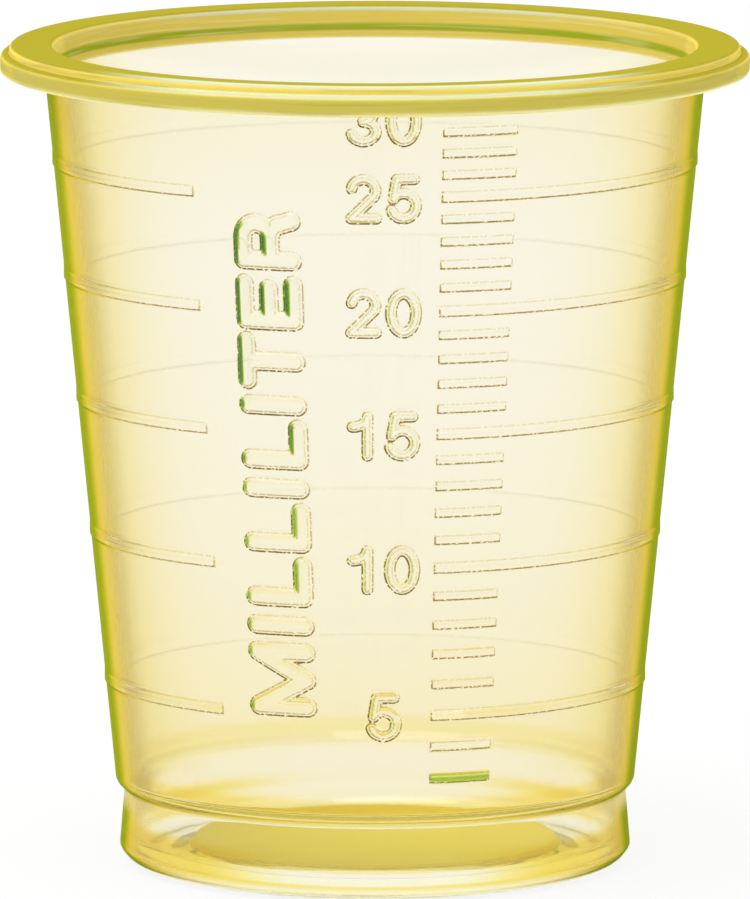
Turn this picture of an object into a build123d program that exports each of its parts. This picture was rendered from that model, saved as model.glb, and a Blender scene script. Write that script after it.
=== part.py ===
from build123d import *
import os
from math import cos, pi, radians, sin, tan

# A 30 ml medicine cup, moulded in one piece: a thin tapered body on a narrower foot, with a
# solid flanged rim and raised graduation marks. Millimetres, +Z up. The origin is the centre
# of the plane that the cup stands on, and the scale faces -Y.

# Body: a cone whose outside is measured at the level of the notch above the foot
cup_height = 43.9
notch_height = 4.0
body_radius = 13.8
body_taper = 5.57
wall = 0.62

# Shoulder: a bevel that brings the body in to the notch, and the ledge that it makes inside
notch_depth = 0.42
shoulder_slope = 42.0
shoulder_rounding = 0.6
notch_fillet = 0.15
ledge_rounding = 0.5
ledge_fillet = 0.3

# Foot: a short skirt that flares downwards to its largest radius, then curls under
foot_flare = 0.26
foot_edge_height = 0.9
foot_edge_slope = 58.0
foot_edge_rounding = 1.6
foot_edge_blend = 0.3

# Base: a ring that stands on the table round a raised floor, with a channel inside the ring
floor_height = 1.3
channel_width = 4.0
floor_thickness = 0.63
riser_slope = 45.0
floor_rounding = 0.3
channel_rounding = 1.2

# Rim: a flange round the top of the body, with a lower bead stepped in from the flange's edge
lip_width = 2.25
lip_thickness = 1.05
bead_step = 0.49
bead_height = 0.45
lip_lower_rounding = 0.28
lip_upper_rounding = 0.3
lip_root_fillet = 0.3
bead_outer_rounding = 0.26
bead_inner_rounding = 0.32
step_fillet = 0.1

# Graduation: one mark for each millilitre, and a ring round the cup for each fifth one
mark_volume = 1000.0
marks_per_ring = 5
mark_band = 0.46
ring_band = 0.56
mark_lift = 0.012
mark_start = 11.8
mark_end = 25.2
ring_end = 326.3

# Heights and radii that follow from the values above
slope = tan(radians(body_taper))
wall_across = wall / cos(radians(body_taper))
lip_top = cup_height - bead_height
lip_underside = lip_top - lip_thickness
lip_radius = body_radius + slope * (lip_top - notch_height) + lip_width
bead_radius = lip_radius - bead_step
foot_top_radius = body_radius - notch_depth
foot_radius = foot_top_radius + foot_flare
floor_radius = foot_radius - channel_width
shoulder_rise = (body_radius - foot_top_radius) / (1 / tan(radians(shoulder_slope)) - slope)
shoulder_height = notch_height + shoulder_rise
foot_edge_start = foot_radius - foot_edge_height / tan(radians(foot_edge_slope))
riser_lean = 1 / tan(radians(riser_slope))
recess_height = floor_height - floor_thickness
# The underside of the riser is one floor thickness from its top side
recess_radius = floor_radius + floor_height * riser_lean - floor_thickness / sin(radians(riser_slope))


def outer_radius(z):
    """Outside of the body cone at a height."""
    return body_radius + slope * (z - notch_height)


def inner_radius(z):
    """Inside of the body cone at a height."""
    return outer_radius(z) - wall_across


def skirt_inner_radius(z):
    """Inside of the foot's flared skirt at a height, one wall in from its outside."""
    flare = (foot_radius - foot_top_radius) / (notch_height - foot_edge_height)
    return foot_top_radius + flare * (notch_height - z) - wall


def inset(before, corner, after):
    """The point one wall inside both of the outer lines that meet at a corner."""
    arriving = (Vector(corner) - Vector(before)).normalized().rotate(Axis.Z, 90)
    leaving = (Vector(after) - Vector(corner)).normalized().rotate(Axis.Z, 90)
    moved = Vector(corner) + (arriving + leaving) * (wall / (1 + arriving.dot(leaving)))
    return moved.X, moved.Y


def section(corners):
    """Half section from its corners, each given as radius, height and rounding."""
    points = [(radius, height) for radius, height, rounding in corners]
    roundings = [rounding for radius, height, rounding in corners]
    return make_face(FilletPolyline(points, radius=roundings, close=True))


def outer_section():
    """Half section of the cup as if it were solid."""
    return section([
        (0, 0, 0),
        (foot_edge_start, 0, foot_edge_rounding),
        (foot_radius, foot_edge_height, foot_edge_blend),
        (foot_top_radius, notch_height, notch_fillet),
        (outer_radius(shoulder_height), shoulder_height, shoulder_rounding),
        (outer_radius(lip_underside), lip_underside, lip_root_fillet),
        (lip_radius, lip_underside, lip_lower_rounding),
        (lip_radius, lip_top, lip_upper_rounding),
        (bead_radius, lip_top, step_fillet),
        (bead_radius, cup_height, bead_outer_rounding),
        (0, cup_height, 0),
    ])


def cavity_corners():
    """Corners of the space inside, from the raised floor out to the foot of the body cone."""
    foot_corner = (foot_radius, foot_edge_height)
    notch = (foot_top_radius, notch_height)
    shoulder = (outer_radius(shoulder_height), shoulder_height)
    body_top = (outer_radius(cup_height), cup_height)
    return [
        (0, floor_height, 0),
        (floor_radius, floor_height, floor_rounding),
        (floor_radius + (floor_height - wall) * riser_lean, wall, floor_rounding),
        (skirt_inner_radius(wall), wall, channel_rounding),
        (*inset(foot_corner, notch, shoulder), ledge_rounding),
        (*inset(notch, shoulder, body_top), ledge_fillet),
    ]


def filling_section():
    """Half section of what the cup holds when it is full to the brim."""
    return section(cavity_corners() + [
        (inner_radius(cup_height), cup_height, 0),
        (0, cup_height, 0),
    ])


def cavity_section():
    """Half section of the cut that hollows the cup and rounds the inside of its rim."""
    return section(cavity_corners() + [
        (inner_radius(cup_height), cup_height, bead_inner_rounding),
        (lip_radius, cup_height, 0),
        (lip_radius, cup_height + wall, 0),
        (0, cup_height + wall, 0),
    ])


def recess_section():
    """Half section of the shallow hollow under the raised floor."""
    return section([
        (0, 0, 0),
        (recess_radius, 0, 0),
        (recess_radius - recess_height * riser_lean, recess_height, floor_rounding),
        (0, recess_height, 0),
    ])


def turned(profile, start=0.0, end=360.0):
    """A section revolved about the cup's axis between two angles, counted from the front to the right."""
    placed = Rotation(0, 0, start - 90) * (Plane.XZ * profile)
    return revolve(placed, Axis.Z, end - start)


def mark_height(volume, capacity):
    """Height that a volume of liquid reaches in the body cone, from the cube law of a cone."""
    brim_radius = inner_radius(cup_height)
    surface_radius = (brim_radius**3 - 3 * slope * (capacity - volume) / pi) ** (1 / 3)
    return cup_height - (brim_radius - surface_radius) / slope


def mark(height, band, end):
    """A raised mark: its face is upright, so it stands out of the taper at its lower edge."""
    low = height - band / 2
    high = height + band / 2
    face_radius = outer_radius(high) + mark_lift
    root_radius = outer_radius(low) - wall_across / 2
    outline = section([
        (root_radius, low, 0),
        (face_radius, low, 0),
        (face_radius, high, 0),
        (root_radius, high, 0),
    ])
    return turned(outline, mark_start, end)


def marks(capacity):
    """All the marks that lie on the body between its shoulder and the rim."""
    clearance = max(mark_band, ring_band) / 2
    lowest = shoulder_height + shoulder_rounding + clearance
    highest = lip_underside - lip_root_fillet - clearance
    pieces = []
    for count in range(1, int(capacity / mark_volume) + 1):
        height = mark_height(count * mark_volume, capacity)
        if lowest < height < highest:
            if count % marks_per_ring == 0:
                pieces.append(mark(height, ring_band, ring_end))
            else:
                pieces.append(mark(height, mark_band, mark_end))
    return pieces


def cup():
    """The whole cup as one solid."""
    capacity = turned(filling_section()).volume
    body = turned(outer_section() - cavity_section() - recess_section())
    return body + marks(capacity)


os.makedirs("parts", exist_ok=True)
export_step(cup(), "parts/cup.step")
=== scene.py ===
from functools import partial, reduce
from math import ceil, cos, pi, radians, sin, tan
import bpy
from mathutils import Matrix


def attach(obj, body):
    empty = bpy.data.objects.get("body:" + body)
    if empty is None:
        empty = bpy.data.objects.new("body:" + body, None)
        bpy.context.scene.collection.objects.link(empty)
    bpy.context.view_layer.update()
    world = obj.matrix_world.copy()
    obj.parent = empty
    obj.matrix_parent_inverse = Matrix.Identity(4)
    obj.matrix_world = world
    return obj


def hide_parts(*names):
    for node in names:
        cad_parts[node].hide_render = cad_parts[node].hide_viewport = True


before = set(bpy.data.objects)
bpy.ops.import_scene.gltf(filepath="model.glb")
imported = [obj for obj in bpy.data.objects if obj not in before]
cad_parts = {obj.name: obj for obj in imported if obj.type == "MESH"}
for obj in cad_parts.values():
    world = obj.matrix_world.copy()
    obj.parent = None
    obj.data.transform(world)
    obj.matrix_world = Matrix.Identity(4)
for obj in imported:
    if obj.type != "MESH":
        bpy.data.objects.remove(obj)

from types import SimpleNamespace

import bpy
import numpy as np
from bpy.props import FloatProperty, FloatVectorProperty, IntProperty, PointerProperty

bl_info = {
    "name": "Medicine cup",
    "version": (1, 0, 0),
    "blender": (4, 5, 0),
    "location": "3D view > Sidebar > Cup",
    "description": "A 30 ml medicine cup with raised marks, numerals and unit word, and its stage",
    "category": "Add Mesh",
}

MM = 0.001
MILLILITRE = 1000 * MM**3
HAIR = 0.001 * MM

# Turn of one straight bit of an arc, in the profile and in degrees in a sign's strokes
ARC_STEP, SIGN_ARC = radians(13), 12
# Rows next to a corner of the profile, and the longest ones below and above the body
ROW_BY_CORNER, LONGEST_BELOW, LONGEST_ABOVE = 0.1 * MM, 1.6 * MM, 4.0 * MM
# Rows and columns where the signs are, and those next to the edge and the end of a mark
ROW_STEP, COLUMN_STEP = 0.12 * MM, radians(0.34)
ROW_BY_MARK, COLUMN_BY_MARK = 0.02 * MM, radians(0.07)
# Degrees from the front between which the word and the numerals lie, and where the front ends
WORD_SPAN, NUMERAL_SPAN, FRONT_END = (-28.4, -11.2), (-6.3, 10.1), 26.5
# The distance to an edge that is noted away from all edges, and the most noted inside a mark
FAR, MARK_EDGE = 0.6 * MM, 0.09 * MM

# Dark line painted as shade on edges, darkest on lower and left edges: its middle strength, how much
# less where the edge faces up or right, its share at the back, on marks and further in on a sign,
# that place in millimetres, and its solid part
EDGE_SHADE_MIDDLE, EDGE_SHADE_UP, EDGE_SHADE_RIGHT = 0.5, 0.42, 0.22
EDGE_SHADE_AT_BACK, EDGE_SHADE_ON_MARKS, EDGE_SHADE_INSIDE = 0.3, 0.6, 0.25
EDGE_SHADE_INSIDE_AT, EDGE_SHADE_SOLID = -0.16, 0.2
# Green painted as shade on slopes that face left: a slope's middle and end, in parts of its width,
# its fullness, how the edge's way to the right counts, and its share on numerals and low and high on
# the word
SLOPE_AT, SLOPE_END, SLOPE_FULLNESS, SLOPE_GAIN, SLOPE_LEAST = 0.55, 1.8, 0.3, 3.0, 1.9
SLOPE_NUMERALS, SLOPE_LOW, SLOPE_HIGH = 0.06, 0.4, 1.0
SLOPE_FROM, SLOPE_TO = 22.0 * MM, 28.0 * MM
# Green painted as shade on the lowest mark's face: its share, how far below the middle it is, and its
# half width
FACE_SHARE, FACE_DROP, FACE_HALF = 0.5, 0.04 * MM, 0.2 * MM

# Where each zone of the finish begins and where it is full, and the middle that this counts from
ZONES = {
    # Millimetres over the table
    "plate": (0.8, 0.95), "beneath": (1.1, 0.9), "channel": (2.4, 1.6),
    "skirt": (2.9, 1.7), "foot edge": (0.5, 1.0), "upper": (34.0, 42.0),
    # Over the notch, the lip's underside and the raised floor
    "foot": (0.6, 0.0), "rim": (-0.3, -0.1), "low": (0.5, 0.1),
    # Outside the raised floor's edge
    "floor": (0.9, 0.5), "off floor": (0.5, 0.9), "under floor": (1.4, 1.1),
    # Outside the body cone there, and outside its foot on the table
    "inside": (-0.2, -0.4), "rim inside": (4.0, 3.7), "bead edge": (5.0, 5.4),
    # Either side of a middle: outside that edge, over the notch, over the table, outside a mark
    "riser": (0.6, 0.4, 0.8), "floor rim": (0.5, 0.25, 0.1),
    "shoulder": (0.95, 0.4, 0.75), "glint": (0.8, 0.3, 3.1), "step": (0.1, 0.04, -0.02),
    # Behind the axis
    "behind": (0.0, 2.0), "far behind": (0.0, 5.0),
    # How far the wall is seen edge-on
    "aside": (0.03, 0.3), "glinting": (0.7, 0.6), "cloud": (0.52, 0.79), "olive": (0.71, 0.84),
    # Noise
    "grain": (0.3, 0.52), "streaks": (0.5, 0.75),
    # Upward part of the normal, part of the way to the back or front, and to the front alone
    "level": (0.5, 0.9), "fore and aft": (0.6, 0.9, 0.0), "fore": (-0.6, -0.9),
}
# How much less the shoulder shows at the back, and the wall's inside clouds
SHOULDER_BEHIND, CLOUD_INSIDE = 0.5, 0.5
# Noise: streaks per metre across and up, and how the ripple is stretched
STREAK_SCALE, RIPPLE_SCALE = (150.0, 150.0, 6000.0), (1.0, 1.0, 0.3)

# Depth of each colour of light per depth of plastic, of yellow tint, of the shade line painted on
# edges and of the green shade painted on slopes that face left
CHANNELS = {
    "Red": {"plastic": -0.075, "plastic squared": -0.03, "line": -0.42, "green": -0.6},
    "Green": {"plastic": -0.22, "gilt": -0.1, "line": -0.56, "green": -0.33},
    "Blue": {"plastic": -1.0, "gilt": -1.0, "line": -1.2, "green": -1.9},
}
# Colour and alpha of the material where it isn't rendered
PREVIEW = (0.93, 0.87, 0.47, 0.5)

# Stage: the floor's corners and how white the camera sees it, between which upward parts of a
# direction the horizon fades, the sensor in millimetres, the key light, and the light's bounces
FLOOR_SIDES, WHITE_TO_CAMERA, FADE, SENSOR = 96, 0.85, (0.06, 0.3), 36.0
KEY_PLACE, KEY_TURN = (-0.35, -0.3, 1.3), (radians(20), 0.0, radians(-50))
CLEAR_BOUNCES, GLOSSY_BOUNCES, DIFFUSE_BOUNCES = 36, 28, 2


def length(description, millimetres):
    """A size that a user can change, given here in millimetres."""
    return partial(
        FloatProperty, description=description, default=millimetres * MM, unit="LENGTH", precision=5
    )


def turn(description, degrees):
    """An angle that a user can change, given here in degrees."""
    return partial(FloatProperty, description=description, default=radians(degrees), subtype="ANGLE")


def number(description, value):
    """A plain number that a user can change."""
    return partial(FloatProperty, description=description, default=value)


def colour(description, value):
    """A linear colour that a user can change."""
    return partial(
        FloatVectorProperty, description=description, default=value, subtype="COLOR", min=0.0, max=1.0
    )


def named(group):
    """Makes the values that a class lists into properties, each named after its attribute."""
    for key, make in group.__annotations__.items():
        group.__annotations__[key] = make(name=key.replace("_", " ").capitalize())
    return group


@named
class CupForm(bpy.types.PropertyGroup):
    """The turned shape of the cup."""

    height: length("From the table to the top of the rim", 43.9)
    notch_height: length("Height of the notch above the foot", 4.0)
    body_radius: length("Outside of the body cone at the notch", 13.8)
    taper: turn("How far the body leans out from upright", 5.57)
    wall: length("Thickness of the wall", 0.62)
    notch_depth: length("Set in from the body", 0.42)
    shoulder_slope: turn("Slope of the bevel between body and notch", 42.0)
    shoulder_rounding: length("Rounding of the shoulder", 0.6)
    notch_fillet: length("Rounding in the notch", 0.15)
    ledge_rounding: length("Rounding inside, behind the notch", 0.5)
    ledge_fillet: length("Rounding inside, behind the shoulder", 0.3)
    foot_flare: length("Foot beyond the notch", 0.26)
    foot_edge_height: length("Height of the foot's largest radius", 0.9)
    foot_edge_slope: turn("Slope of the foot's lower edge", 58.0)
    foot_edge_rounding: length("Rounding of the foot's lower edge", 1.6)
    foot_edge_blend: length("Rounding at the foot's largest radius", 0.3)
    floor_height: length("Top of the raised floor", 1.3)
    channel_width: length("From the foot's outside to the floor", 4.0)
    floor_thickness: length("Thickness of the raised floor", 0.63)
    riser_slope: turn("Slope of the raised floor's edge", 45.0)
    floor_rounding: length("Rounding of the raised floor's edge", 0.3)
    channel_rounding: length("Rounding of the channel's outer corner", 1.2)
    lip_width: length("Lip beyond the body", 2.25)
    lip_thickness: length("Height of the lip's edge", 1.05)
    bead_step: length("Bead inside the lip's edge", 0.49)
    bead_height: length("Height of the bead on top of the lip", 0.45)
    lip_lower_rounding: length("Rounding of the lip's lower edge", 0.28)
    lip_upper_rounding: length("Rounding of the lip's upper edge", 0.3)
    lip_root_fillet: length("Rounding under the lip", 0.3)
    bead_outer_rounding: length("Outer rounding of the bead", 0.26)
    bead_inner_rounding: length("Inner rounding of the bead", 0.32)
    step_fillet: length("Rounding between lip and bead", 0.1)


@named
class CupScale(bpy.types.PropertyGroup):
    """The raised marks, numerals and unit word."""

    volume_step: number("Millilitres from one mark to the next", 1.0)
    ring_every: partial(IntProperty, description="Marks from one ring to the next", default=5)
    band: length("Height of a short mark", 0.46)
    ring_band: length("Height of a ring", 0.56)
    lift: length("How far a mark stands out at its upper edge", 0.012)
    start: turn("From the front to the marks' start", 11.8)
    end: turn("From the front to a short mark's end", 25.2)
    ring_end: turn("From the front round to a ring's end", 326.3)
    numeral_height: length("Height of a numeral", 2.63)
    numeral_stroke: length("Width of a numeral's stroke", 0.55)
    numeral_slope: length("Width of a numeral's sloped edge", 0.17)
    numeral_relief: length("How far a numeral stands out", 0.16)
    numeral_offset: length("From the front to the middle of the numerals", 0.45)
    numeral_drop: length("From a ring down to its numeral", 0.06)
    word_height: length("Cap height of the unit word", 3.71)
    word_length: length("Length of the unit word", 27.05)
    word_stroke: length("Width of the unit word's stroke", 1.02)
    word_slope: length("Width of the word's sloped edge", 0.3)
    word_relief: length("How far the unit word stands out", 0.18)
    word_angle: turn("From the front to the word's middle", -19.5)
    word_start: length("Height where the unit word starts", 10.01)


@named
class CupFinish(bpy.types.PropertyGroup):
    """The tinted polypropylene."""

    tint: colour("What the plastic lets through, at its depth of colour", (0.955, 0.90, 0.07))
    depth: number("Density of the tint, per metre", 200.0)
    warmth: colour("What one wall lets through at any depth", (0.985, 0.972, 1.0))
    bending: number("Refractive index of the plastic", 1.49)
    edge_depth: number("Extra depth where the wall is seen edge-on", 6.6)
    edge_power: number("How closely the extra depth keeps to the edges", 3.5)
    foot_depth: number("Extra depth low on the cup", 0.43)
    foot_reach: length("How far up the foot's extra depth reaches", 10.0)
    shoulder_depth: number("Extra depth in the thick shoulder", 0.25)
    shoulder_gilt: number("Extra yellow in the shoulder", 0.5)
    skirt_depth: number("Extra yellow low on the sides of the foot", 2.6)
    skirt_shade: number("Extra depth low on the sides of the foot", 1.17)
    # Painted highlight: how far the depth gives way on the foot's sides under the notch
    foot_glint: number("How far the depth gives way under the notch", 0.8)
    floor_depth: number("Extra yellow in the raised floor", 1.3)
    upper_depth: number("Extra depth in the upper part of the body", 0.09)
    rim_depth: number("Extra depth in the rim", 1.3)
    gold: colour("Sides where they cloud", (0.74, 0.54, 0.03))
    # The olive at the outermost edge is the plastic's deeper colour seen edge-on, and partly painted
    # shade
    olive: colour("Outermost edge", (0.31, 0.37, 0.0))
    floor_gold: colour("Clouded raised floor", (1.0, 0.85, 0.10))
    rim_gold: colour("Gold bands of the rim", (0.92, 0.72, 0.13))
    rim_olive: colour("Edge of the lip", (0.62, 0.53, 0.09))
    rim_top: colour("Top of the rim", (0.43, 0.37, 0.02))
    # Painted light on the rim: highlights in the brightest bands, and reflections in mint on the
    # bead's rounded edges
    bright: colour("Brightest bands of the rim", (1.0, 0.93, 0.42))
    mint: colour("Rounded edges of the bead", (0.72, 0.77, 0.52))
    green: colour("Line inside, below the bead", (0.44, 0.52, 0.025))
    pale: colour("Palest clouded places", (0.92, 0.95, 0.52))
    # The streaks are painted highlights on the rim's inner wall and darker olive streaks outside
    streaks: number("Strength of the long streaks round the rim", 0.5)
    rim_cloud: number("How far the rim clouds", 0.85)
    channel_cloud: number("Share of the cloud kept in the channel", 0.15)
    clear_riser: number("How clear the raised floor's edge is", 0.75)
    clear_steps: number("How clear the edges of the rings behind are", 0.6)
    cloudiness: number("How far the plastic clouds where it is seen edge-on", 0.97)
    # Painted shade: the dark line on the edges of marks and signs, and its half width
    line_depth: number("Extra depth on the edges of marks and signs", 10.0)
    line_width: length("Half width of that line", 0.062)
    # Painted shade: green on the slopes that face left
    left_depth: number("Extra depth on the slopes that face left", 10.0)
    grain_size: length("Size of the breaks in that line", 0.13)
    roughness: number("Roughness of the surface", 0.05)
    ripple: length("Height of the fine moulding ripple", 0.0012)
    ripple_size: length("Width of the fine moulding ripple", 0.45)


@named
class StageLook(bpy.types.PropertyGroup):
    """The floor, the light and the camera."""

    floor_colour: colour("Floor", (0.9, 0.9, 0.9))
    floor_radius: length("Radius of the floor", 6000.0)
    horizon: colour("Light from the horizon", (1.0, 1.0, 1.0))
    zenith: number("Light from overhead, against the horizon", 0.85)
    key_power: number("Power of the key light, in watts", 10.0)
    key_size: length("Diameter of the key light", 1400.0)
    lens: partial(FloatProperty, description="Focal length", default=569.9, unit="CAMERA")
    pitch: turn("How far the camera looks down", 8.5448)
    distance: length("From the axis to the camera, level", 749.825)
    camera_height: length("Height of the camera", 134.757)


def slope_of(form):
    """How much the body's radius grows with height."""
    return tan(form.taper)


def outer_radius(form, height):
    """Outside of the body cone at a height."""
    return form.body_radius + slope_of(form) * (height - form.notch_height)


def inner_radius(form, height):
    """Inside of the body cone at a height."""
    return outer_radius(form, height) - form.wall / cos(form.taper)


def lip_underside(form):
    """Height of the lip's underside."""
    return form.height - form.bead_height - form.lip_thickness


def shoulder_corners(form):
    """The foot's widest corner, the notch and the shoulder, as radius and height."""
    notch_radius = form.body_radius - form.notch_depth
    rise = form.notch_depth / (1 / tan(form.shoulder_slope) - slope_of(form))
    shoulder_height = form.notch_height + rise
    foot = (notch_radius + form.foot_flare, form.foot_edge_height)
    notch = (notch_radius, form.notch_height)
    shoulder = (outer_radius(form, shoulder_height), shoulder_height)
    return foot, notch, shoulder


def inset(form, before, corner, after):
    """The point one wall inside both of the outer lines that meet at a corner."""
    before, corner, after = np.array(before), np.array(corner), np.array(after)
    arriving = (corner - before) / np.hypot(*(corner - before))
    leaving = (after - corner) / np.hypot(*(after - corner))
    inward = np.array([-(arriving + leaving)[1], (arriving + leaving)[0]])
    return tuple(corner + inward * form.wall / (1 + arriving @ leaving))


def floor_radius(form):
    """Radius of the raised floor."""
    return shoulder_corners(form)[0][0] - form.channel_width


def outer_corners(form):
    """Corners from the middle of the underside up the outside to the top of the bead."""
    foot, notch, shoulder = shoulder_corners(form)
    under = lip_underside(form)
    lip_top = under + form.lip_thickness
    lip_radius = outer_radius(form, lip_top) + form.lip_width
    bead_radius = lip_radius - form.bead_step
    lean = 1 / tan(form.riser_slope)
    recess_height = form.floor_height - form.floor_thickness
    recess_radius = floor_radius(form) + form.floor_height * lean
    recess_radius -= form.floor_thickness / sin(form.riser_slope)
    foot_edge_start = foot[0] - form.foot_edge_height / tan(form.foot_edge_slope)
    return [
        (0.0, recess_height, 0.0),
        (recess_radius - recess_height * lean, recess_height, form.floor_rounding),
        (recess_radius, 0.0, form.step_fillet),
        (foot_edge_start, 0.0, form.foot_edge_rounding),
        (*foot, form.foot_edge_blend),
        (*notch, form.notch_fillet),
        (*shoulder, form.shoulder_rounding),
        (outer_radius(form, under), under, form.lip_root_fillet),
        (lip_radius, under, form.lip_lower_rounding),
        (lip_radius, lip_top, form.lip_upper_rounding),
        (bead_radius, lip_top, form.step_fillet),
        (bead_radius, form.height, form.bead_outer_rounding),
    ]


def cavity_corners(form):
    """Corners of the inside, from the middle of the raised floor up to the brim."""
    foot, notch, shoulder = shoulder_corners(form)
    lean = 1 / tan(form.riser_slope)
    flare = form.foot_flare / (form.notch_height - form.foot_edge_height)
    skirt = notch[0] + flare * (form.notch_height - form.wall) - form.wall
    top = (outer_radius(form, form.height), form.height)
    return [
        (0.0, form.floor_height, 0.0),
        (floor_radius(form), form.floor_height, form.floor_rounding),
        (floor_radius(form) + (form.floor_height - form.wall) * lean, form.wall, form.floor_rounding),
        (skirt, form.wall, form.channel_rounding),
        (*inset(form, foot, notch, shoulder), form.ledge_rounding),
        (*inset(form, notch, shoulder, top), form.ledge_fillet),
        (inner_radius(form, form.height), form.height, form.bead_inner_rounding),
    ]


def rounded(corners):
    """A path through corners, each given as radius, height and rounding.

    Where a rounding is given, the corner gives way to an arc of that radius that touches both of
    its lines: it starts at rounding x tan(half the turn) before the corner, and its centre stands
    one rounding to the side on which the path turns.
    """
    points = np.array([corner[:2] for corner in corners])
    path = [points[:1]]
    for before, corner, after, (_, _, rounding) in zip(points, points[1:], points[2:], corners[1:]):
        arriving = (corner - before) / np.hypot(*(corner - before))
        leaving = (after - corner) / np.hypot(*(after - corner))
        bend = np.arctan2(arriving[0] * leaving[1] - arriving[1] * leaving[0], arriving @ leaving)
        start = corner - arriving * rounding * tan(abs(bend) / 2)
        centre = start + np.sign(bend) * rounding * np.array([-arriving[1], arriving[0]])
        angles = np.linspace(0, bend, ceil(abs(bend) / ARC_STEP) + 1 if rounding else 1)[:, None]
        spoke = start - centre
        across = np.array([-spoke[1], spoke[0]])
        path.append(centre + np.cos(angles) * spoke + np.sin(angles) * across)
    path.append(points[-1:])
    return np.concatenate(path)


def supported(path, edge, longest):
    """The same path with more points on its straights: one close to each end, the rest evenly."""
    pieces = [path[:1]]
    for start, end in zip(path, path[1:]):
        size = np.hypot(*(end - start))
        places = [1.0]
        if size > 3 * edge:
            inner = np.linspace(edge / size, 1 - edge / size, ceil(size / longest) + 1)
            places = [*inner, 1.0]
        pieces.append(start + np.array(places)[:, None] * (end - start))
    return np.concatenate(pieces)


def turned_volume(path):
    """Volume inside a turned path, in slices of a cone."""
    r, z = path.T
    return abs(pi / 3 * np.sum((r[:-1] ** 2 + r[:-1] * r[1:] + r[1:] ** 2) * np.diff(z)))


def mark_heights(form, scale):
    """Count and height of each mark on the body.

    The empty part of the cup above a mark is a slice of a cone, so by the cube law the liquid's
    radius cubed is the brim's radius cubed less 3 x slope x empty volume / pi.
    """
    capacity = turned_volume(rounded(cavity_corners(form)))
    brim, slope = inner_radius(form, form.height), slope_of(form)
    counts = np.arange(1, int(capacity / MILLILITRE / scale.volume_step) + 1)
    empty = capacity - counts * scale.volume_step * MILLILITRE
    heights = form.height - (brim - np.cbrt(brim**3 - 3 * slope * empty / pi)) / slope
    clearance = max(scale.band, scale.ring_band) / 2
    lowest = shoulder_corners(form)[2][1] + form.shoulder_rounding + clearance
    highest = lip_underside(form) - form.lip_root_fillet - clearance
    return counts, heights, (heights > lowest) & (heights < highest)


def arc(x, y, across, up, start, end):
    """Part of an ellipse round a centre, between two angles in degrees."""
    a = np.radians(np.linspace(start, end, 2 + int(abs(end - start) / SIGN_ARC)))
    return np.stack([x + across * np.cos(a), y + up * np.sin(a)], 1)


def bar(*points):
    """Straight strokes through points."""
    return np.array(points, float)


def run(*parts):
    """One stroke through the points of several parts."""
    return np.concatenate(parts)


# Middle lines of each sign's strokes, in parts of its height, and how far on the next sign starts
SIGNS = {
    "0": ([arc(0.315, 0.5, 0.315, 0.5, 0, 360)], 1.0),
    "1": ([run(arc(0.0, 1.0, 0.375, 0.26, -90, -28), bar((0.375, 1), (0.375, 0)))], 0.93),
    "2": ([run(arc(0.31, 0.71, 0.30, 0.29, 170, -30), bar((0, 0), (0.63, 0)))], 1.0),
    "3": ([arc(0.30, 0.75, 0.27, 0.25, 160, -90), arc(0.31, 0.25, 0.31, 0.25, 90, -165)], 1.0),
    "5": ([run(bar((0.58, 1), (0.14, 1), (0.06, 0.5)), arc(0.31, 0.32, 0.32, 0.32, 138, -160))], 1.0),
    "M": ([bar((0, 0), (0, 1), (0.525, 0), (1.05, 1), (1.05, 0))], 1.564),
    "I": ([bar((0, 0), (0, 1))], 0.55),
    "L": ([bar((0, 1), (0, 0), (0.6, 0))], 1.045),
    "T": ([bar((-0.075, 1), (0.655, 1)), bar((0.29, 1), (0.29, 0))], 1.074),
    "E": ([bar((0.68, 1), (0, 1), (0, 0), (0.68, 0)), bar((0, 0.5), (0.6, 0.5))], 1.147),
    "R": ([
        run(bar((0, 0), (0, 1)), arc(0.42, 0.72, 0.28, 0.28, 90, -90), bar((0, 0.44))),
        run(arc(0.40, 0.19, 0.30, 0.25, 90, 0), bar((0.76, 0))),
    ], 1.125),
}


def strokes_of(text):
    """Start and end of each straight bit of a text's strokes, and the text's width, at height 1."""
    starts, ends, x, widest = [], [], 0.0, 0.0
    for sign in text:
        paths, advance = SIGNS[sign]
        for path in paths:
            placed = path + (x, 0)
            starts.append(placed[:-1])
            ends.append(placed[1:])
            widest = max(widest, placed[:, 0].max())
        x += advance
    return np.concatenate(starts), np.concatenate(ends), widest


def stroke_distance(x, y, starts, ends):
    """Distance from points of a plane to the nearest middle line of a stroke."""
    points = np.stack([x, y], 1)
    nearest = np.full(len(points), np.inf)
    for start, end in zip(starts, ends):
        along = end - start
        share = np.clip((points - start) @ along / max(along @ along, 1e-18), 0, 1)
        nearest = np.minimum(nearest, np.hypot(*(points - start - share[:, None] * along).T))
    return nearest


def sloped(edge, slope, relief):
    """Height of a raised sign from the distance to its edge, which is below zero inside it.

    It rises over the slope as relief x (3t^2 - 2t^3), with t from 0 at the edge to 1, and is flat
    from there on.
    """
    t = np.clip(-edge / slope, 0, 1)
    return relief * t * t * (3 - 2 * t)


def numerals(form, scale):
    """Each numeral's strokes and width, and the height of its middle.

    The middle of the top one stays a sixth of its height below the lip, which covers the rest.
    """
    counts, heights, _ = mark_heights(form, scale)
    size = scale.numeral_height - scale.numeral_stroke
    highest = lip_underside(form) - scale.numeral_height / 6
    for count, height in zip(counts, heights):
        if count % scale.ring_every == 0:
            starts, ends, width = strokes_of(str(int(round(count * scale.volume_step))))
            strokes = starts * size, ends * size
            yield strokes, width * size, min(height, highest) - scale.numeral_drop


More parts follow.
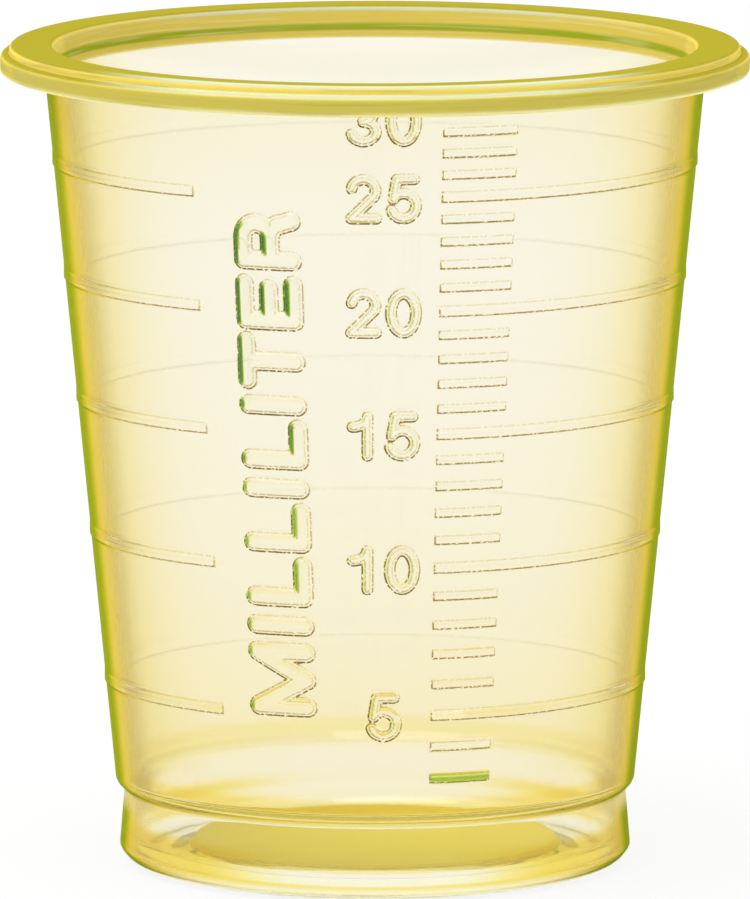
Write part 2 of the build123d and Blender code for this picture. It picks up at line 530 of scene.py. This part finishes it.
def sign_relief(form, scale, angle, height):
    """Height of the numerals and the unit word over the body, and the distance to their edges.

    The cone is unrolled for it: a point's place across is its angle x the cone's radius there.
    """
    radius = outer_radius(form, height)
    raised = np.zeros_like(angle)
    edge = np.full_like(angle, FAR)

    def add(x, y, width, size, strokes, stroke, slope, relief):
        near = (abs(y - size / 2) < size / 2 + stroke) & (abs(x - width / 2) < width / 2 + stroke)
        edge[near] = stroke_distance(x[near], y[near], *strokes) - stroke / 2
        raised[near] = sloped(edge[near], slope, relief)

    stroke = scale.numeral_stroke
    size = scale.numeral_height - stroke
    for strokes, width, middle in numerals(form, scale):
        x = angle * radius - scale.numeral_offset + width / 2
        y = height - middle + size / 2
        add(x, y, width, size, strokes, stroke, scale.numeral_slope, scale.numeral_relief)
    stroke = scale.word_stroke
    size, reach = scale.word_height - stroke, scale.word_length - stroke
    starts, ends, width = strokes_of("MILLILITER")
    strokes = starts * (reach / width, size), ends * (reach / width, size)
    x = height - scale.word_start - stroke / 2
    y = size / 2 - (angle - scale.word_angle) * radius
    add(x, y, reach, size, strokes, stroke, scale.word_slope, scale.word_relief)
    return raised, edge


def mark_relief(form, scale, angle, height):
    """Height of the marks over the body, and the distance to their edges.

    A mark has an upright face on the leaning body, so it grows towards its lower edge.
    """
    raised = np.zeros_like(angle)
    edge = np.full_like(angle, FAR)
    radius = outer_radius(form, height)
    counts, heights, shown = mark_heights(form, scale)
    for count, middle in zip(counts[shown], heights[shown]):
        band, past_end = scale.band, (angle - scale.end) * radius
        before_start = (scale.start - angle) * radius
        if count % scale.ring_every == 0:
            band, past_end = scale.ring_band, np.full_like(angle, -FAR)
            before_start = np.minimum(before_start, (angle - scale.ring_end + 2 * pi) * radius)
        across = np.maximum(before_start, past_end)
        up = abs(height - middle) - band / 2
        outside = np.hypot(np.maximum(across, 0), np.maximum(up, 0))
        edge = np.minimum(edge, outside + np.clip(np.maximum(across, up), -MARK_EDGE, 0))
        face = outer_radius(form, middle + band / 2) + scale.lift
        inside = (across < HAIR) & (up < HAIR)
        raised = np.maximum(raised, np.where(inside, face - radius, 0))
    return raised, edge


def spaced(stops):
    """Places in order from stops of (place, spacing from there to the next stop)."""
    runs = [
        np.linspace(start, end, max(1, ceil((end - start) / spacing - 1e-6)), endpoint=False)
        for (start, spacing), (end, _) in zip(stops, stops[1:])
    ]
    return np.concatenate([*runs, [stops[-1][0]]])


def body_rows(form, scale, low, high):
    """Heights of the rows of points up the body, and which of them go all round.

    Each mark has a row on each edge and one just outside it, and a ring has a few more. Between
    them the rows are close enough for the signs, and only the rows at the rings go all round.
    Places are rounded to a nanometre, so that rows can be told apart.
    """
    counts, heights, shown = mark_heights(form, scale)
    at_ring = counts % scale.ring_every == 0
    ticks, rings = heights[shown & ~at_ring][:, None], heights[shown & at_ring][:, None]
    half = scale.band / 2
    edges = ticks + np.array([-half - ROW_BY_MARK, -half, half, half + ROW_BY_MARK])
    half = scale.ring_band / 2
    near_edges = np.array([-FAR, -5 * ROW_BY_MARK, -ROW_BY_MARK, 0, 5 * ROW_BY_MARK, half])
    wide = rings + np.concatenate([near_edges - half, half - near_edges])
    kept = np.concatenate([wide.ravel(), [low, low + MARK_EDGE, high - MARK_EDGE, high]])
    fixed = np.unique(np.concatenate([edges.ravel(), kept]).round(9))
    rows = spaced([(place, ROW_STEP) for place in fixed])
    return rows, abs(rows[:, None] - kept).min(1) < 2e-9


def columns(scale):
    """Angles of the columns of points round the cup, and how many of them have all the rows.

    Each stop is an angle and the step from there on. The steps are finest at the ends of the marks
    and rings, fine where the signs are, and wide at the back.
    """
    by = COLUMN_BY_MARK
    start, end, ring_end = scale.start, scale.end, scale.ring_end - 2 * pi
    first = ring_end - radians(1.1)
    front = spaced([
        (first, radians(0.5)),
        (ring_end - 4 * by, 4 * by), (ring_end, by), (ring_end + by, 4 * by),
        (ring_end + 5 * by, radians(0.7)),
        (radians(WORD_SPAN[0]), COLUMN_STEP), (radians(WORD_SPAN[1]), radians(0.6)),
        (radians(NUMERAL_SPAN[0]), COLUMN_STEP), (radians(NUMERAL_SPAN[1]), radians(0.6)),
        (start - 5 * by, 4 * by), (start - by, by), (start, 4 * by),
        (start + 5 * by, radians(1.1)),
        (end - 4 * by, 4 * by), (end, by), (end + by, 4 * by),
        (end + 5 * by, radians(0.7)),
        (radians(FRONT_END), 1.0),
    ])
    back = spaced([
        (front[-1], radians(1.2)), (radians(30), radians(2.4)), (radians(38), radians(4.5)),
        (radians(314), radians(2.4)), (radians(321), radians(1.2)), (first + 2 * pi, 1.0),
    ])
    return np.concatenate([front, back[1:-1]]), len(front)


def cup_profile(form, scale):
    """The cup's profile as radius and height, which of its rows go all round, and its body's rows.

    It runs from the middle of the underside up the outside, over the rim and down the inside to
    the middle of the floor. The body's outside is a straight cone, cut into rows for the marks.
    """
    path = rounded(outer_corners(form) + cavity_corners(form)[::-1])
    middle = form.height / 2
    cut = np.nonzero((path[:-1, 1] < middle) & (path[1:, 1] > middle))[0][0]
    heights, round_body = body_rows(form, scale, path[cut, 1], path[cut + 1, 1])
    body = np.stack([outer_radius(form, heights), heights], 1)
    below = supported(path[: cut + 1], ROW_BY_CORNER, LONGEST_BELOW)[:-1]
    above = supported(path[cut + 1 :], ROW_BY_CORNER, LONGEST_ABOVE)[1:]
    whole = np.concatenate([np.ones(len(below), bool), round_body, np.ones(len(above), bool)])
    return np.concatenate([below, body, above]), whole, slice(len(below), len(below) + len(body))


def line_strength(on_mark, angle, way_up, way_right):
    """How strong the shade line painted on the nearest edge is, from 0 to 1.

    It is a middle value less a share of the edge's way up and to the right, so that lower and
    left edges are darkest as painted shade, and it is weaker at the back and on marks.
    """
    strength = np.clip(EDGE_SHADE_MIDDLE - EDGE_SHADE_UP * way_up - EDGE_SHADE_RIGHT * way_right, 0, 1)
    strength *= np.where(np.cos(angle) > 0.5, 1.0, EDGE_SHADE_AT_BACK)
    return strength * np.where(on_mark, EDGE_SHADE_ON_MARKS, 1.0)


def left_slopes(form, scale, angle, height, mark_edge, sign_edge, way_right):
    """How far green shade is painted on a slope that faces left, from 0 to 1, or on the lowest mark's
    face.

    A slope faces left where the distance to the edge shrinks to the right. It counts for more high
    on the word, and for little on the numerals.
    """
    from_slope = abs(sign_edge / scale.word_slope + SLOPE_AT)
    on_slope = np.clip(1 - from_slope * SLOPE_END, 0, 1) ** SLOPE_FULLNESS
    facing = np.clip(-way_right * SLOPE_GAIN - SLOPE_LEAST, 0, 1)
    rise = np.clip((height - SLOPE_FROM) / (SLOPE_TO - SLOPE_FROM), 0, 1)
    on_word = SLOPE_LOW + (SLOPE_HIGH - SLOPE_LOW) * rise
    left = on_slope * facing * np.where(angle < scale.word_angle / 2, on_word, SLOPE_NUMERALS)
    _, heights, shown = mark_heights(form, scale)
    from_middle = abs(height - heights[shown][0] + FACE_DROP)
    on_face = (from_middle < FACE_HALF) & (mark_edge < 0)
    return np.where(on_face, FACE_SHARE * (1 - from_middle / FACE_HALF), left)


def grid_faces(rows, across, front, full):
    """Faces of a closed grid: quads with all rows over the front columns, and with the full rows
    over the rest. Where the two meet, a face takes in the points of the rows that stop there.
    """
    grid = np.arange(rows * across).reshape(rows, across)
    a, b = grid[:-1, : front - 1], grid[1:, : front - 1]
    faces = np.stack([a, a + 1, b + 1, b], 2).reshape(-1, 4).tolist()
    a, b = grid[full[:-1], front : across - 1], grid[full[1:], front : across - 1]
    faces += np.stack([a, a + 1, b + 1, b], 2).reshape(-1, 4).tolist()
    for low, high in zip(full, full[1:]):
        between = grid[low + 1 : high]
        a, b = grid[low], grid[high]
        faces.append([a[front - 1], a[front], b[front], b[front - 1], *between[::-1, front - 1]])
        faces.append([a[-1], a[0], *between[:, 0], b[0], b[-1]])
    under, floor = rows * across, rows * across + 1
    first, last = grid[0], grid[-1]
    faces += np.stack([np.full(across, under), np.roll(first, -1), first], 1).tolist()
    faces += np.stack([np.full(across, floor), last, np.roll(last, -1)], 1).tolist()
    return faces


def cup_surface(form, scale):
    """The cup as one closed surface: points, faces as lists of point numbers, and notes on points.

    The profile is turned about Z: x is radius x sin(angle) and y is minus radius x cos(angle).
    Marks and signs are added to its radius on the body. The notes are the distance to the nearest
    edge of one, in millimetres and below zero inside it, the strength of the shade line painted on
    that edge, and how far the point is on a slope that faces left, where green shade is painted.
    """
    profile, whole, on_body = cup_profile(form, scale)
    angles, front = columns(scale)
    angle, radius = np.meshgrid(angles, profile[1:-1, 0])
    height = np.repeat(profile[1:-1, 1][:, None], len(angles), 1)
    edge = np.full_like(angle, FAR)
    line, left = np.zeros_like(angle), np.zeros_like(angle)

    rows = slice(on_body.start - 1, on_body.stop - 1)
    mark_raised, mark_edge = mark_relief(form, scale, angle[rows], height[rows])
    sign_raised, sign_edge = sign_relief(form, scale, angle[rows], height[rows])
    radius[rows] += np.maximum(mark_raised, sign_raised)
    edge[rows] = np.minimum(mark_edge, sign_edge)
    way_up, way_right = np.gradient(edge[rows], profile[on_body, 1], angles)
    way_right /= radius[rows]
    line[rows] = line_strength(mark_edge < sign_edge, angle[rows], way_up, way_right)
    left[rows] = left_slopes(
        form, scale, angle[rows], height[rows], mark_edge, sign_edge, way_right
    )

    grid = np.stack([radius * np.sin(angle), -radius * np.cos(angle), height], 2)
    poles = [[0, 0, profile[0, 1]], [0, 0, profile[-1, 1]]]
    points = np.concatenate([grid.reshape(-1, 3), poles])
    faces = grid_faces(*angle.shape, front, np.nonzero(whole[1:-1])[0])
    notes = {
        "edge": np.append(edge.ravel(), [FAR, FAR]) / MM,
        "line": np.append(line.ravel(), [0.0, 0.0]),
        "left": np.append(left.ravel(), [0.0, 0.0]),
    }
    return points, faces, notes


def mesh_object(name, points, faces, notes=None):
    """A smooth mesh object without the points that no face uses, with notes on its points."""
    used = np.unique(np.concatenate([np.asarray(face) for face in faces]))
    new_number = np.zeros(len(points), int)
    new_number[used] = np.arange(len(used))
    mesh = bpy.data.meshes.new(name)
    mesh.from_pydata(points[used].tolist(), [], [new_number[face].tolist() for face in faces])
    mesh.polygons.foreach_set("use_smooth", np.ones(len(mesh.polygons), bool))
    for note, values in (notes or {}).items():
        mesh.attributes.new(note, "FLOAT", "POINT").data.foreach_set("value", values[used])
    mesh.update()
    made = bpy.data.objects.new(name, mesh)
    bpy.context.scene.collection.objects.link(made)
    return made


class Socket:
    """One output of a node. Arithmetic on it adds the Math nodes for it, for values only."""

    def __init__(self, tree, output=None):
        self.tree = tree
        self.output = output

    def node(self, kind, inputs=(), output=0, **settings):
        """Adds a shader node, with its settings and its sockets' values or links."""
        made = self.tree.nodes.new("ShaderNode" + kind)
        for key, value in settings.items():
            setattr(made, key, value)
        for key, value in dict(inputs).items():
            if isinstance(value, Socket):
                self.tree.links.new(value.output, made.inputs[key])
            else:
                made.inputs[key].default_value = value
        return Socket(self.tree, made.outputs[output] if len(made.outputs) else None)

    def ramp(self, value, start, end):
        """Rises smoothly from 0 at the start to 1 at the end."""
        limits = {"Value": value, "From Min": start, "From Max": end}
        return self.node("MapRange", limits, interpolation_type="SMOOTHSTEP")

    def zone(self, name, value):
        """1 inside a zone of the finish, 0 outside it."""
        start, end, *middle = ZONES[name]
        return self.ramp(abs(value - middle[0]) if middle else value, start, end)

    def noise(self, vector, scale, detail):
        """Soft noise, from 0 to 1."""
        return self.node("TexNoise", {"Vector": vector, "Scale": scale, "Detail": detail})

    def part(self, vector, axis):
        """One part of a vector."""
        return self.node("SeparateXYZ", {"Vector": vector}, axis)

    def stretched(self, vector, factors):
        """A vector with each part times its own factor."""
        return self.node("VectorMath", {0: vector, 1: factors}, operation="MULTIPLY")

    def mix(self, factor, first, second):
        """A colour between two others."""
        first, second = [one if isinstance(one, Socket) else (*one, 1.0) for one in (first, second)]
        return self.node("Mix", {0: factor, 6: first, 7: second}, 2, data_type="RGBA")

    def bands(self, value, colour, *changes):
        """A colour that gives way to others on the way up a value, each between two places."""
        for start, end, following in changes:
            colour = self.mix(self.ramp(value, start, end), colour, following)
        return colour

    def maths(self, operation, *values):
        """A value worked out from others."""
        return self.node("Math", dict(enumerate(values)), operation=operation)

    def larger(self, *values):
        """The largest of several values."""
        return reduce(partial(self.maths, "MAXIMUM"), values)

    def __add__(self, other):
        return self.maths("ADD", self, other)

    def __sub__(self, other):
        return self.maths("SUBTRACT", self, other)

    def __mul__(self, other):
        return self.maths("MULTIPLY", self, other)

    def __truediv__(self, other):
        return self.maths("DIVIDE", self, other)

    def __rsub__(self, other):
        return self.maths("SUBTRACT", other, self)

    def __pow__(self, other):
        return self.maths("POWER", self, other)

    def __abs__(self):
        return self.maths("ABSOLUTE", self)

    def exp(self):
        return self.maths("EXPONENT", self)

    __radd__ = __add__
    __rmul__ = __mul__


def new_tree(owner):
    """Empties the nodes of a material or world and gives the start of its maths."""
    owner.use_nodes = True
    owner.node_tree.nodes.clear()
    return Socket(owner.node_tree)


def cup_zones(kit, form):
    """Where a point of the cup is, in millimetres, and how far it is in each zone."""
    at = SimpleNamespace()
    at.place = kit.node("TexCoord", output="Object")
    at.edge_on = kit.node("LayerWeight", {"Blend": 0.5}, "Facing")
    at.height = kit.part(at.place, "Z") * (1 / MM)
    at.along = kit.part(at.place, "Y") * (1 / MM)
    flat = kit.stretched(at.place, (1.0, 1.0, 0.0))
    at.across = kit.node("VectorMath", {0: flat}, "Value", operation="LENGTH") * (1 / MM)
    at.beyond = at.across - outer_radius(form, 0.0) / MM
    at.above = at.height - lip_underside(form) / MM
    above_notch = at.height - form.notch_height / MM
    from_floor = at.across - floor_radius(form) / MM

    at.foot = kit.zone("foot", above_notch)
    at.rim = kit.zone("rim", at.above)
    at.low = kit.zone("low", at.height - form.floor_height / MM)
    at.inside = kit.zone("inside", at.beyond - at.height * slope_of(form))
    at.floor = at.low * kit.zone("floor", from_floor)
    at.riser = at.low * kit.zone("riser", from_floor)
    at.floor_rim = at.low * kit.zone("floor rim", from_floor) * kit.zone("plate", at.height)
    beneath = kit.zone("beneath", at.height) * kit.zone("under floor", from_floor)
    at.channel = kit.zone("channel", at.height) * at.inside * kit.zone("off floor", from_floor)
    at.around = kit.larger(at.channel, at.riser, beneath)
    at.shoulder = kit.zone("shoulder", above_notch)
    at.shoulder *= 1 - kit.zone("far behind", at.along) * SHOULDER_BEHIND
    at.plain = 1 - at.floor - at.channel
    at.skirt = kit.zone("skirt", at.height) * at.plain
    at.skirt *= kit.zone("aside", at.edge_on) * kit.zone("foot edge", at.height)
    # Where a highlight is painted on the foot's sides, just under the notch
    at.glint = kit.zone("glint", at.height) * kit.zone("glinting", at.edge_on)
    return at


def plastic_shader(kit, finish, at):
    """The clear plastic, whose surface adds to the colour that light takes on in its volume.

    It adds depth where the wall is seen edge-on, at the foot and in the rim, less in a highlight
    painted low on the foot's sides, yellow in thick places, a dark line painted as shade on the edges
    of marks and signs, and green painted as shade on slopes that face left. Each channel of the
    colour is e to the sum of these depths, each times its share in that channel.
    """
    edge, line, left = [
        kit.node("Attribute", output="Fac", attribute_name=name) for name in ("edge", "line", "left")
    ]
    depth = at.edge_on**finish.edge_power * at.plain * finish.edge_depth
    depth += (at.height * (-MM / finish.foot_reach)).exp() * (1 - at.foot) * finish.foot_depth
    depth += at.rim * finish.rim_depth + at.shoulder * finish.shoulder_depth
    depth += at.skirt * finish.skirt_shade + kit.zone("upper", at.height) * finish.upper_depth
    # Painted highlight: less depth on the foot's sides under the notch
    depth *= 1 - at.glint * finish.foot_glint
    gilt = at.floor * finish.floor_depth + at.skirt * finish.skirt_depth
    gilt += at.shoulder * finish.shoulder_gilt

    # A dark line painted as shade on each edge, broken into dots by noise
    width = finish.line_width / MM
    outer = kit.ramp(abs(edge), width, width * EDGE_SHADE_SOLID)
    inner = kit.ramp(abs(edge - EDGE_SHADE_INSIDE_AT), width, width * EDGE_SHADE_SOLID) * EDGE_SHADE_INSIDE
    grain = kit.zone("grain", kit.noise(at.place, 1 / finish.grain_size, 0.0))
    line = (outer + inner) * line * grain * finish.line_depth
    # Green painted as shade on slopes that face left
    green = left * finish.left_depth

    depths = {
        "plastic": depth, "plastic squared": depth * depth, "gilt": gilt, "line": line, "green": green
    }
    shade = kit.node("CombineColor", {
        channel: sum(depths[name] * share for name, share in shares.items()).exp() * warmth
        for (channel, shares), warmth in zip(CHANNELS.items(), finish.warmth)
    })
    step = kit.zone("step", edge) * kit.zone("behind", at.along)
    ripple = kit.noise(kit.stretched(at.place, RIPPLE_SCALE), 1 / finish.ripple_size, 2.0)
    relief = kit.node("Bump", {"Height": ripple, "Distance": finish.ripple, "Strength": 1.0})
    return kit.node("BsdfPrincipled", {
        "Base Color": shade,
        "Roughness": finish.roughness,
        "IOR": finish.bending,
        "Transmission Weight": 1.0,
        "Alpha": 1 - kit.larger(at.riser * finish.clear_riser, step * finish.clear_steps),
        "Normal": relief,
    })


def rim_colour(kit, finish, at):
    """The clouded rim's colour, in bands by the height above the lip's underside, in millimetres."""
    forward = at.along / at.across
    broad = kit.zone("fore and aft", forward)
    # Inside the rim: the mint band at the top is a painted reflection, strongest at the front and
    # back
    inner = kit.bands(
        at.above, finish.rim_gold,
        (0.12, 0.24, finish.green),
        (0.44, 0.66, finish.rim_gold),
        (1.16, 1.3, kit.mix(broad, finish.rim_gold, finish.mint)),
    )
    # Outside the rim: the bright bands are painted highlights, one at the lip's lower edge and one on
    # the bead, strongest at the front and back
    outer = kit.bands(
        at.above, finish.bright,
        (0.06, 0.34, finish.rim_olive),
        (0.8, 1.0, finish.rim_gold),
        (1.0, 1.08, kit.mix(broad, finish.rim_gold, finish.bright)),
        (1.12, 1.2, finish.rim_gold),
    )
    # Long streaks: painted highlights on the inner wall, darker olive on the outside
    streaks = kit.zone("streaks", kit.noise(kit.stretched(at.place, STREAK_SCALE), 1.0, 2.0))
    streaks *= finish.streaks
    inner = kit.mix(streaks, inner, finish.bright)
    outer = kit.mix(streaks, outer, finish.rim_top)
    # On level faces, a reflection painted in mint at the front of the bead's top
    level = kit.zone("level", kit.part(kit.node("NewGeometry", output="Normal"), "Z"))
    reflection_at_front = kit.zone("bead edge", at.beyond) * kit.zone("fore", forward)
    outer = kit.mix(level, outer, kit.mix(reflection_at_front, finish.rim_top, finish.mint))
    facing_in = at.inside * kit.zone("rim inside", at.beyond) * (1 - level)
    return kit.mix(facing_in, outer, inner)


def cloud_shader(kit, finish, at):
    """The matt veil of thick plastic and of plastic seen edge-on, and how much of it shows."""
    # Towards the outermost edge the veil turns olive: the deeper colour of the plastic, and partly
    # painted shade
    veil = kit.zone("olive", at.edge_on) * (1 - at.inside)
    veil = kit.mix(veil, finish.gold, finish.olive)
    veil = kit.mix(at.floor, veil, finish.floor_gold)
    veil = kit.mix(at.around, veil, finish.pale)
    veil = kit.mix(at.rim, veil, rim_colour(kit, finish, at))
    matt = {"Base Color": veil, "Roughness": 1.0, "Specular IOR Level": 0.0}
    inner_wall = at.inside * (1 - at.low - at.rim)
    clouded = kit.zone("cloud", at.edge_on) * (1 - inner_wall * CLOUD_INSIDE)
    clouded = kit.larger(clouded, at.rim * finish.rim_cloud, at.floor_rim)
    clouded *= 1 - at.around * (1 - finish.channel_cloud)
    return kit.node("BsdfPrincipled", matt), clouded * finish.cloudiness


def polypropylene(finish, form):
    """Clear plastic over a tinted volume, with a cloud where it is thick or seen edge-on."""
    material = bpy.data.materials.new("polypropylene")
    material.diffuse_color = PREVIEW
    kit = new_tree(material)
    at = cup_zones(kit, form)
    plastic = plastic_shader(kit, finish, at)
    cloud, clouded = cloud_shader(kit, finish, at)
    surface = kit.node("MixShader", {0: clouded, 1: plastic, 2: cloud})
    tint = kit.node("VolumeAbsorption", {"Color": (*finish.tint, 1.0), "Density": finish.depth})
    kit.node("OutputMaterial", {"Surface": surface, "Volume": tint})
    return material


def pale_floor(look):
    """A matt floor that the camera, reflections and the clear plastic see as nearly white."""
    material = bpy.data.materials.new("floor")
    kit = new_tree(material)
    rays = [
        kit.node("LightPath", output=name)
        for name in ("Is Camera Ray", "Is Glossy Ray", "Is Transmission Ray")
    ]
    seen = kit.maths("MINIMUM", rays[0] * WHITE_TO_CAMERA + rays[1] + rays[2], 1.0)
    matt = kit.node("BsdfDiffuse", {"Color": (*look.floor_colour, 1.0)})
    white = kit.node("Emission", {"Strength": 1.0})
    kit.node("OutputMaterial", {"Surface": kit.node("MixShader", {0: seen, 1: matt, 2: white})})
    return material


def soft_world(look):
    """A white horizon that fades overhead, the same for every ray."""
    world = bpy.data.worlds.new("studio")
    bpy.context.scene.world = world
    kit = new_tree(world)
    up = kit.part(kit.node("TexCoord", output="Generated"), "Z")
    fade = kit.node(
        "MapRange",
        {"Value": up, "From Min": FADE[0], "From Max": FADE[1], "To Min": 1.0, "To Max": look.zenith},
        interpolation_type="SMOOTHSTEP",
    )
    light = kit.node("Background", {"Color": (*look.horizon, 1.0), "Strength": fade})
    kit.node("OutputWorld", {"Surface": light})


class MEDCUP_OT_cup(bpy.types.Operator):
    """Make the cup with its marks, numerals and unit word"""

    bl_idname = "medcup.cup"
    bl_label = "Cup"

    def execute(self, context):
        scene = context.scene
        form = scene.cup_form
        cup = mesh_object("medicine_cup", *cup_surface(form, scene.cup_scale))
        cup.data.materials.append(polypropylene(scene.cup_finish, form))
        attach(cup, "root")
        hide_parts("cup")
        return {"FINISHED"}


class MEDCUP_OT_stage(bpy.types.Operator):
    """Make the floor, the light and the camera"""

    bl_idname = "medcup.stage"
    bl_label = "Stage"

    def execute(self, context):
        scene = context.scene
        look = scene.stage_look
        around = np.linspace(0, 2 * pi, FLOOR_SIDES, endpoint=False)
        rim = np.stack([np.sin(around), np.cos(around), np.zeros(FLOOR_SIDES)], 1)
        floor = mesh_object("floor", rim[::-1] * look.floor_radius, [list(range(FLOOR_SIDES))])
        floor.data.materials.append(pale_floor(look))
        soft_world(look)

        lamp = bpy.data.lights.new("key", "AREA")
        lamp.shape, lamp.size, lamp.energy = "DISK", look.key_size, look.key_power
        key = bpy.data.objects.new("key", lamp)
        key.location, key.rotation_euler = KEY_PLACE, KEY_TURN
        scene.collection.objects.link(key)

        lens = bpy.data.cameras.new("camera")
        lens.lens, lens.sensor_width = look.lens, SENSOR
        camera = bpy.data.objects.new("camera", lens)
        camera.location = (0.0, -look.distance, look.camera_height)
        camera.rotation_euler = (pi / 2 - look.pitch, 0.0, 0.0)
        scene.collection.objects.link(camera)
        scene.camera = camera

        scene.view_settings.view_transform = "Standard"
        cycles = scene.cycles
        cycles.max_bounces = cycles.transmission_bounces = CLEAR_BOUNCES
        cycles.glossy_bounces, cycles.diffuse_bounces = GLOSSY_BOUNCES, DIFFUSE_BOUNCES
        cycles.use_light_tree = False
        return {"FINISHED"}


class MEDCUP_PT_panel(bpy.types.Panel):
    """Lists the pieces of the cup and its stage."""

    bl_idname = "MEDCUP_PT_panel"
    bl_label = "Medicine cup"
    bl_space_type = "VIEW_3D"
    bl_region_type = "UI"
    bl_category = "Cup"

    def draw(self, context):
        for name, group in GROUPS.items():
            box = self.layout.box()
            for key in group.__annotations__:
                box.prop(getattr(context.scene, name), key)
        self.layout.operator("medcup.cup")
        self.layout.operator("medcup.stage")


GROUPS = {
    "cup_form": CupForm,
    "cup_scale": CupScale,
    "cup_finish": CupFinish,
    "stage_look": StageLook,
}
CLASSES = (*GROUPS.values(), MEDCUP_OT_cup, MEDCUP_OT_stage, MEDCUP_PT_panel)


def register():
    for kind in CLASSES:
        bpy.utils.register_class(kind)
    for name, group in GROUPS.items():
        setattr(bpy.types.Scene, name, PointerProperty(type=group))


def unregister():
    for name in GROUPS:
        delattr(bpy.types.Scene, name)
    for kind in reversed(CLASSES):
        bpy.utils.unregister_class(kind)


def main():
    """Makes the cup and its stage."""
    register()
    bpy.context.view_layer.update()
    bpy.ops.medcup.cup()
    bpy.ops.medcup.stage()


if __name__ == "__main__":
    main()
